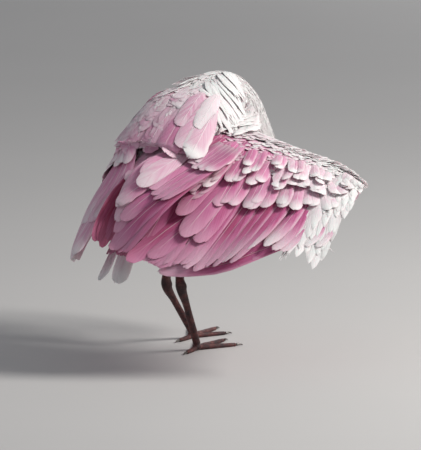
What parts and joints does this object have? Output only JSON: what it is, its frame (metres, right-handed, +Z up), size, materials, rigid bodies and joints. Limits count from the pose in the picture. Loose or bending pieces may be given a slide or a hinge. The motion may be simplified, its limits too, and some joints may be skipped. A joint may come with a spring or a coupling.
{
  "type": "preening roseate spoonbill figure",
  "caption": "Life-size still figure of a wading bird preening, neck arched over, spoon bill tucked under its half-open wing, standing on two feet.",
  "frame": {"origin": "on the floor, under the middle of the bounding box", "axes": "+X the way the bird's body heads, +Y its left side, +Z up"},
  "size_m": [0.4266, 0.3658, 0.4058],
  "materials": {
    "white_feathers": "soft matte feathers, white with a rose tinge",
    "rose_coverts": "soft matte feathers, deep rose",
    "pink_feathers": "silky feathers, pink",
    "bare_face": "satin bare skin",
    "bill_horn": "satin horn",
    "red_eye": "gloss",
    "leg_scales": "satin scales",
    "claw_horn": "satin horn"
  },
  "bodies": {
    "root": {"bill_lower": "bill_horn", "bill_upper": "bill_horn", "claw_left_hind": "claw_horn", "claw_left_inner": "claw_horn", "claw_left_middle": "claw_horn", "claw_left_outer": "claw_horn", "claw_right_hind": "claw_horn", "claw_right_inner": "claw_horn", "claw_right_middle": "claw_horn", "claw_right_outer": "claw_horn", "eye_left": "red_eye", "eye_right": "red_eye", "foot_left": "leg_scales", "foot_right": "leg_scales", "head": "bare_face", "neck": "white_feathers", "scapulars_left": "white_feathers", "scapulars_right": "white_feathers", "shank_left": "leg_scales", "shank_right": "leg_scales", "tail": "pink_feathers", "tarsus_left": "leg_scales", "tarsus_right": "leg_scales", "tertials_left": "pink_feathers", "tertials_right": "pink_feathers", "thigh_left": "white_feathers", "thigh_right": "white_feathers", "trunk": "white_feathers", "wing_left_arm": "rose_coverts", "wing_left_primaries": "pink_feathers", "wing_left_secondaries": "pink_feathers", "wing_right_arm": "rose_coverts", "wing_right_primaries": "pink_feathers", "wing_right_secondaries": "pink_feathers"}
  },
  "joints": []
}
